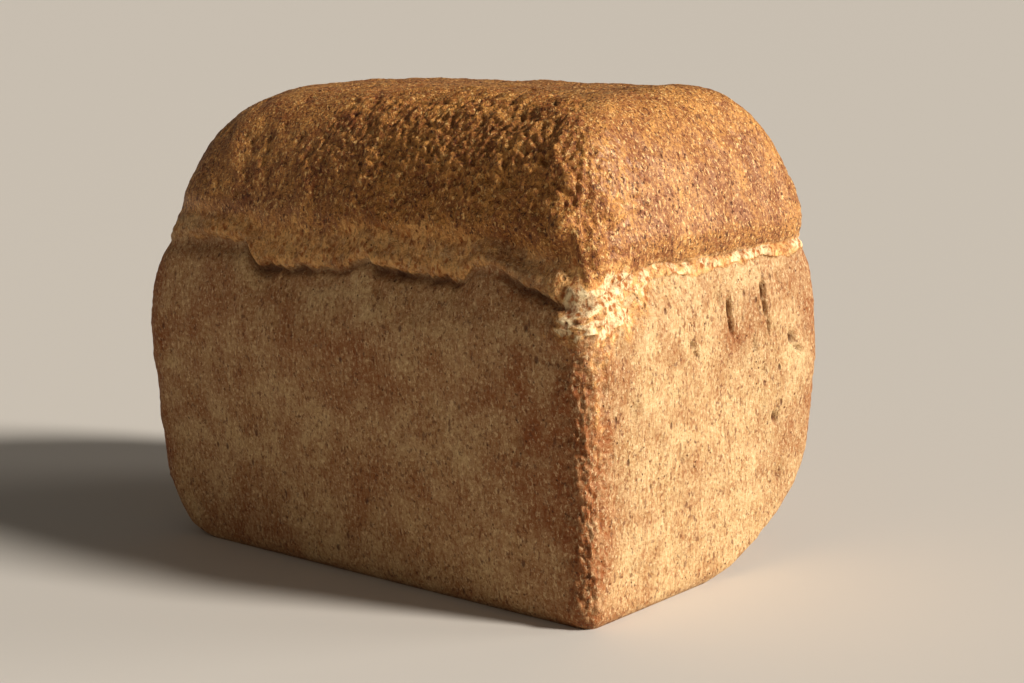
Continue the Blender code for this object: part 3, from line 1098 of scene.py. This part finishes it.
SPECKLES = (
    Speckle(tone="toasted", size=3.2, level=0.53, cloud=0.0, on_wall=0.3, on_dome=0.46),
    # Pale specks; on the dome they partly stand in for tiny glints: painted highlight
    Speckle(tone="pale", size=0.9, level=0.56, cloud=0.0, on_wall=0.5, on_dome=0.75),
    Speckle(tone="toasted", size=0.8, level=0.46, cloud=0.16, on_wall=0.48, on_dome=0.66),
    Speckle(tone="bran", size=1.2, level=0.52, cloud=0.12, on_wall=0.62, on_dome=0.8),
)


@dataclass(frozen=True)
class Pores:
    """Pinholes of one kind: how squashed their pattern is, how far apart they lie, their size and depth."""

    squash: float
    spacing: float
    size: float
    depth: float


PORES = (Pores(squash=1.0, spacing=2.4, size=0.19, depth=0.35),
         Pores(squash=0.55, spacing=5.2, size=0.15, depth=0.6))


@dataclass
class BakedCrust:
    """The loaf's one material: crust of the walls and of the dome, and crumb where it tore."""

    kit: GroupKit
    finish: CrumbFinish = CrumbFinish()
    jitter_scale: float = 0.42
    browned_edge: Triple = (1.1, 0.15, 0.85)
    torn_edge: Triple = (1.4, 0.22, 0.92)
    browning: Pair = (1.3, 0.7)
    fresh_from: Pair = (0.76, 0.98)
    speck_squash: float = 0.65
    speck_shift: float = 50.0
    lost_in_crumb: float = 0.3
    fleck_spacing: float = 2.7
    fleck_share: float = 0.55
    fleck_size: float = 0.22
    fleck_strength: float = 0.62
    pore_share: float = 0.34
    pore_shade: float = 0.75
    uneven_gloss: float = 0.25
    rough_sheen: float = 0.25
    sheen_from: Pair = (0.05, 0.2)
    coat_roughness: float = 0.46
    refraction: float = 1.45

    def __post_init__(self) -> None:
        """Start the material, and wire what its colour and its relief both read."""
        self.material = bpy.data.materials.new("baked_crust")
        self.material.use_nodes = True
        graph = self.graph = Graph(self.material.node_tree)
        self.vector = graph.scaled(graph.node("TexCoord").outputs["Object"], (1 / MM, 1 / MM, 1 / MM))
        self.jitter = graph.minus(graph.noise(self.vector, self.jitter_scale, 4.0, 0.7), 0.5)
        self.browned = self.ragged(Mask.BROWNED, *self.browned_edge)
        self.torn = self.ragged(Mask.TORN, *self.torn_edge)
        self.painted_shade = self.mask(Mask.PAINTED_SHADE)
        self.grain = self.kit.place(graph, "grain", {"Vector": self.vector})
        self.crumb = self.kit.place(graph, "crumb", {"Vector": self.vector})
        self.tones = {tone: graph.blend(self.browned, getattr(WALL, tone), getattr(DOME, tone))
                      for tone in TONES}
        self.pores = [(self.pore_mask(kind), kind.depth) for kind in PORES]

    def mask(self, which: Mask) -> Socket:
        """Return a share that the mesh carries."""
        return self.graph.node("Attribute", {"attribute_name": which.value}).outputs["Fac"]

    def ragged(self, which: Mask, amount: float, low: float, high: float) -> Socket:
        """Return a mask with its border broken up by noise."""
        graph = self.graph
        return graph.rise(graph.plus(self.mask(which), graph.times(self.jitter, amount)), low, high)

    def pore_mask(self, kind: Pores) -> Socket:
        """Return where the pinholes of a kind are."""
        spread = self.graph.scaled(self.vector, (1.0, 1.0, kind.squash))
        inputs = {"Vector": spread, "Spacing": kind.spacing, "Share": self.pore_share, "Size": kind.size}
        return self.kit.place(self.graph, "pores", inputs).outputs["Mask"]

    def of_crust(self, name: str) -> Socket:
        """Return a value of the crust's finish, from the walls' to the dome's."""
        return self.graph.mixed(self.browned, getattr(WALL, name), getattr(DOME, name))

    def base(self) -> Socket:
        """Wire the colour of the crust without specks, and of the crumb where it tore."""
        graph, finish, tones, shade = self.graph, self.finish, self.tones, self.grain.outputs["Shade"]
        most, less = self.browning
        uneven = graph.minus(most, graph.times(shade, less))
        # The browner tone goes in by the toasted share, which is partly painted shade; paler grains take less
        # of it
        browning = graph.times(self.mask(Mask.TOAST_AND_SHADE), uneven, clamp=True)
        baked = graph.blend(browning, graph.blend(shade, tones["dark"], tones["light"]), tones["toasted"])
        fresh = graph.rise(self.mask(Mask.TORN), *self.fresh_from)
        bright = graph.blend(fresh, finish.light, finish.cream)
        return graph.blend(self.torn, baked, graph.blend(self.crumb.outputs["Shade"], finish.dark, bright))

    def colour(self) -> Socket:
        """Wire the whole colour, with specks, flecks, dark pinholes and painted shade in the hollows."""
        graph, kit, tones, colour = self.graph, self.kit, self.tones, self.base()
        tall = graph.scaled(self.vector, (1.0, 1.0, self.speck_squash))
        bare = graph.minus(1.0, graph.times(self.torn, self.lost_in_crumb))
        for place, kind in enumerate(SPECKLES):
            moved = graph.moved(tall, (self.speck_shift * place, 0.0, 0.0))
            level = graph.plus(kind.level, graph.times(self.grain.outputs["Cloud"], kind.cloud))
            specks = kit.place(graph, "specks", {"Vector": moved, "Size": kind.size, "Level": level})
            weight = graph.times(bare, graph.mixed(self.browned, kind.on_wall, kind.on_dome))
            colour = graph.blend(graph.times(specks.outputs[0], weight), colour, tones[kind.tone])
        flecks = kit.place(graph, "flecks", {"Vector": tall, "Spacing": self.fleck_spacing,
                                             "Share": self.fleck_share, "Size": self.fleck_size})
        tone = graph.blend(flecks.outputs["Tone"], tones["bran"], tones["toasted"])
        share = graph.times(graph.times(flecks.outputs["Mask"], self.fleck_strength), bare)
        colour = graph.blend(share, colour, tone)
        # Pinholes are painted dark: painted shade in the pits
        for mask, _ in self.pores:
            colour = graph.blend(graph.times(mask, self.pore_shade), colour, tones["bran"])
        # Painted shade in the crevice, grooves and dents
        return graph.blend(self.painted_shade, colour, self.finish.hollow_shade)

    def height(self) -> Socket:
        """Wire the finest relief, in millimetres."""
        graph = self.graph
        pucker = self.kit.place(graph, "pucker", {"Vector": self.vector})
        grain = graph.times(self.grain.outputs["Height"], self.of_crust("grain"))
        wrinkle = graph.times(pucker.outputs["Height"], self.of_crust("wrinkle"))
        streak = graph.times(self.grain.outputs["Streak"], self.of_crust("streak"))
        pulled = graph.times(self.crumb.outputs["Height"], self.finish.grain)
        height = graph.mixed(self.torn, graph.plus(graph.plus(grain, wrinkle), streak), pulled)
        for mask, depth in self.pores:
            height = graph.minus(height, graph.times(mask, depth))
        return height

    def sheen(self, colour: Socket) -> Socket:
        """Wire the sheen of the dome, which is weaker where it is rough, and none in painted shade, on dark
        colour or on crumb.

        Args:
            colour: The whole colour.

        Returns:
            How strong the sheen is.
        """
        graph = self.graph
        sheen = graph.mixed(self.painted_shade, graph.mixed(self.torn, self.of_crust("sheen"), 0.0), 0.0)
        sheen = graph.mixed(self.mask(Mask.ROUGH), sheen, graph.times(sheen, self.rough_sheen))
        tone = graph.node("RGBToBW", None, {0: colour}).outputs[0]
        return graph.times(sheen, graph.rise(tone, *self.sheen_from))

    def build(self) -> bpy.types.Material:
        """Wire the material and return it."""
        graph, shader, colour = self.graph, self.material.node_tree.nodes["Principled BSDF"], self.colour()
        bump = graph.node("Bump", None, {"Strength": 1.0, "Distance": MM, "Height": self.height()})
        rough = graph.mixed(self.torn, self.of_crust("roughness"), self.finish.roughness)
        graph.feed(shader.inputs["Base Color"], colour)
        graph.feed(shader.inputs["Roughness"], graph.plus(rough, graph.times(self.jitter, self.uneven_gloss)))
        graph.feed(shader.inputs["Coat Weight"], self.sheen(colour))
        graph.feed(shader.inputs["Normal"], bump.outputs[0])
        shader.inputs["Coat Roughness"].default_value = self.coat_roughness
        shader.inputs["IOR"].default_value = self.refraction
        return self.material


@dataclass
class Loaf:
    """The loaf itself, which stands for the part's one solid."""

    form: LoafForm = field(default_factory=LoafForm)
    line: TornLine = field(default_factory=TornLine)
    crust: CrustRelief = field(default_factory=CrustRelief)
    browning_and_shade: BrowningAndShade = field(default_factory=BrowningAndShade)
    # Strongest painted shade in the crevice under the lip
    darkest: float = 0.92
    flat_from: float = 0.9

    def grid(self) -> tuple[bmesh.types.BMesh, list[float]]:
        """Cut a cube into a fine grid and bend it to the loaf's plain form.

        Returns:
            The mesh, and the height of each vertex on the plain box.
        """
        bm = bmesh.new()
        bmesh.ops.create_cube(bm, size=2.0)
        for axis, count in enumerate((*self.form.columns, self.form.rows)):
            uncut = [e for e in bm.edges if abs(e.verts[0].co[axis] - e.verts[1].co[axis]) > 1.0]
            bmesh.ops.subdivide_edges(bm, edges=uncut, cuts=count - 1, use_grid_fill=True)
        for low, high in self.form.fine_zones:
            edges = set()
            for face in bm.faces:
                middle = self.form.on_box(face.calc_center_median())
                if all(low[axis] < middle[axis] < high[axis] for axis in range(3)):
                    edges.update(face.edges)
            bmesh.ops.subdivide_edges(bm, edges=list(edges), cuts=1, use_grid_fill=True)
        heights = []
        for vertex in bm.verts:
            vertex.co, height = self.form.shape(vertex.co.copy())
            heights.append(height)
        bm.normal_update()
        return bm, heights

    def carve(self, bm: bmesh.types.BMesh, heights: list[float]) -> dict[Mask, list[float]]:
        """Give the plain form its relief.

        Args:
            bm: The mesh of the plain form.
            heights: The height of each vertex on the plain box.

        Returns:
            For each mask, its share at each vertex.
        """
        masks: dict[Mask, list[float]] = {mask: [] for mask in Mask}
        places = []
        for vertex, height in zip(bm.verts, heights):
            spot = Spot(vertex.co.copy(), vertex.normal.copy(), height - self.form.break_height)
            spot.edge = self.form.corner_share(spot.point)
            spot.torn = self.line.torn(spot)
            spot.browned = self.line.browned(spot)
            crevice = self.line.crevice(spot)
            out = self.line.relief(spot) - crevice + self.crust.swelling(spot.point) + self.crust.skin(spot)
            out *= smooth(height, 0.0, self.form.edge_height)
            way = spot.normal if spot.above > 0 else Vector((*spot.normal.xy, 0.0)).normalized()
            place = spot.point + way * out
            if spot.normal.z < self.flat_from:
                place.z += self.line.rise(spot, self.form.break_height)
            places.append(place)
            # The crevice's painted shade grows with its depth
            shares = {Mask.TORN: spot.torn, Mask.BROWNED: spot.browned, Mask.TOAST_AND_SHADE: self.browning_and_shade.at(spot),
                      Mask.PAINTED_SHADE: min(self.darkest, crevice / self.line.dark_depth),
                      Mask.ROUGH: self.crust.roughness(spot)}
            for mask, share in shares.items():
                masks[mask].append(share)
        for vertex, place in zip(bm.verts, places):
            vertex.co = place
        bm.normal_update()
        # Pressed dents and grooves get painted shade by their depth
        for index, depth in self.crust.press(bm, self.crust.scatter(self.form)).items():
            dent_shade = self.crust.darkest * smooth(depth, *self.crust.dark_depths)
            masks[Mask.PAINTED_SHADE][index] = max(masks[Mask.PAINTED_SHADE][index], dent_shade)
        return masks

    def build(self, finish: bpy.types.Material) -> bpy.types.Object:
        """Model the loaf and dress it.

        Args:
            finish: The material of the crust.

        Returns:
            The loaf.
        """
        bm, heights = self.grid()
        masks = self.carve(bm, heights)
        layers = {mask: bm.verts.layers.float.new(mask.value) for mask in Mask}
        for index, vertex in enumerate(bm.verts):
            for mask, layer in layers.items():
                vertex[layer] = masks[mask][index]
        underside = [face for face in bm.faces if all(vertex.co.z < ROUNDING for vertex in face.verts)]
        base = bmesh.ops.dissolve_faces(bm, faces=underside, use_verts=True)["region"]
        bmesh.ops.poke(bm, faces=base)
        spans = [[vertex.co[axis] for vertex in bm.verts] for axis in (0, 1)]
        middle = [(min(span) + max(span)) / 2 for span in spans]
        bmesh.ops.translate(bm, verts=bm.verts, vec=(-middle[0], -middle[1], 0.0))
        bmesh.ops.recalc_face_normals(bm, faces=bm.faces)

        mesh = bpy.data.meshes.new("bread")
        bm.to_mesh(mesh)
        bm.free()
        mesh.shade_smooth()
        mesh.materials.append(finish)
        piece = bpy.data.objects.new("bread", mesh)
        bpy.context.scene.collection.objects.link(piece)
        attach(piece, BODY)
        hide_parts(NODE)
        mesh.calc_loop_triangles()
        LOG.info("bread: %d triangles", len(mesh.loop_triangles))
        return piece


@dataclass(frozen=True)
class Lamp:
    """A far studio lamp: where it stands, how wide it looks from the loaf and how bright it is."""

    name: str
    azimuth: float
    elevation: float
    spread: float
    strength: float
    colour: Triple


@dataclass
class Studio:
    """The pale floor, the soft light and the camera."""

    floor_size: float = 60.0
    floor_colour: Colour = from_screen(208, 201, 191)
    floor_roughness: float = 0.9
    sky_colour: Colour = from_screen(250, 248, 244)
    sky: float = 0.13
    contrast: float = 1.14
    lamps: tuple[Lamp, ...] = (
        Lamp("key", 105.5, 31.0, 11.0, 4.6, (1.0, 0.975, 0.94)),
        Lamp("rim", 133.0, 11.0, 24.0, 1.5, (1.0, 0.96, 0.92)),
        Lamp("fill", -15.0, 30.0, 70.0, 0.17, (1.0, 0.78, 0.53)),
    )
    camera_azimuth: float = 42.99
    camera_elevation: float = 11.0
    camera_roll: float = -2.58
    camera_distance: float = 0.6465
    camera_aim: Vector = field(default_factory=lambda: Vector((0.0082, 0.0096, 0.0625)))
    lens: float = 71.85
    sensor: float = 36.0
    clip: Pair = (0.01, 100.0)

    @staticmethod
    def towards(azimuth: float, elevation: float) -> Vector:
        """Return the direction from the loaf to a place round it, in degrees."""
        turn, tilt = radians(azimuth), radians(elevation)
        return Vector((sin(turn) * cos(tilt), -cos(turn) * cos(tilt), sin(tilt)))

    def lay_floor(self) -> None:
        """Make the floor and the light of the room."""
        bm = bmesh.new()
        bmesh.ops.create_grid(bm, x_segments=1, y_segments=1, size=self.floor_size / 2)
        mesh = bpy.data.meshes.new("floor")
        bm.to_mesh(mesh)
        bm.free()
        material = bpy.data.materials.new("pale_floor")
        material.use_nodes = True
        shader = material.node_tree.nodes["Principled BSDF"]
        shader.inputs["Base Color"].default_value = self.floor_colour
        shader.inputs["Roughness"].default_value = self.floor_roughness
        mesh.materials.append(material)
        floor = bpy.data.objects.new("floor", mesh)
        bpy.context.scene.collection.objects.link(floor)
        world = bpy.data.worlds.new("room")
        world.use_nodes = True
        sky = world.node_tree.nodes["Background"]
        sky.inputs["Color"].default_value = self.sky_colour
        sky.inputs["Strength"].default_value = self.sky
        bpy.context.scene.world = world

    def hang_lamps(self) -> None:
        """Place the lamps, each turned to the loaf."""
        for lamp in self.lamps:
            light = bpy.data.lights.new(lamp.name, "SUN")
            light.energy, light.angle, light.color = lamp.strength, radians(lamp.spread), lamp.colour
            holder = bpy.data.objects.new(lamp.name, light)
            way = self.towards(lamp.azimuth, lamp.elevation)
            holder.rotation_euler = way.to_track_quat("Z", "Y").to_euler()
            bpy.context.scene.collection.objects.link(holder)

    def set_camera(self) -> None:
        """Place the camera at the photograph's angle."""
        data = bpy.data.cameras.new("camera")
        data.lens, data.sensor_width = self.lens, self.sensor
        data.clip_start, data.clip_end = self.clip
        camera = bpy.data.objects.new("camera", data)
        back = self.towards(self.camera_azimuth, self.camera_elevation)
        turn = radians(self.camera_azimuth)
        right = Vector((cos(turn), sin(turn), 0.0))
        level = Matrix((right, back.cross(right), back)).transposed().to_4x4()
        roll = Matrix.Rotation(radians(self.camera_roll), 4, "Z")
        place = Matrix.Translation(self.camera_aim + back * self.camera_distance)
        camera.matrix_world = place @ level @ roll
        bpy.context.scene.collection.objects.link(camera)
        bpy.context.scene.camera = camera

    def build(self) -> None:
        """Set up the floor, the lamps and the camera."""
        self.lay_floor()
        self.hang_lamps()
        self.set_camera()
        view = bpy.context.scene.view_settings
        view.view_transform = "Standard"
        view.gamma = 1 / self.contrast
        LOG.info("studio: %d lamps", len(self.lamps))


def main() -> None:
    """Load the frame, then build and dress the loaf in its studio."""
    logging.basicConfig(level=logging.INFO, format="%(message)s")
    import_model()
    Studio().build()
    Loaf().build(BakedCrust(GroupKit()).build())


if __name__ == "__main__":
    main()
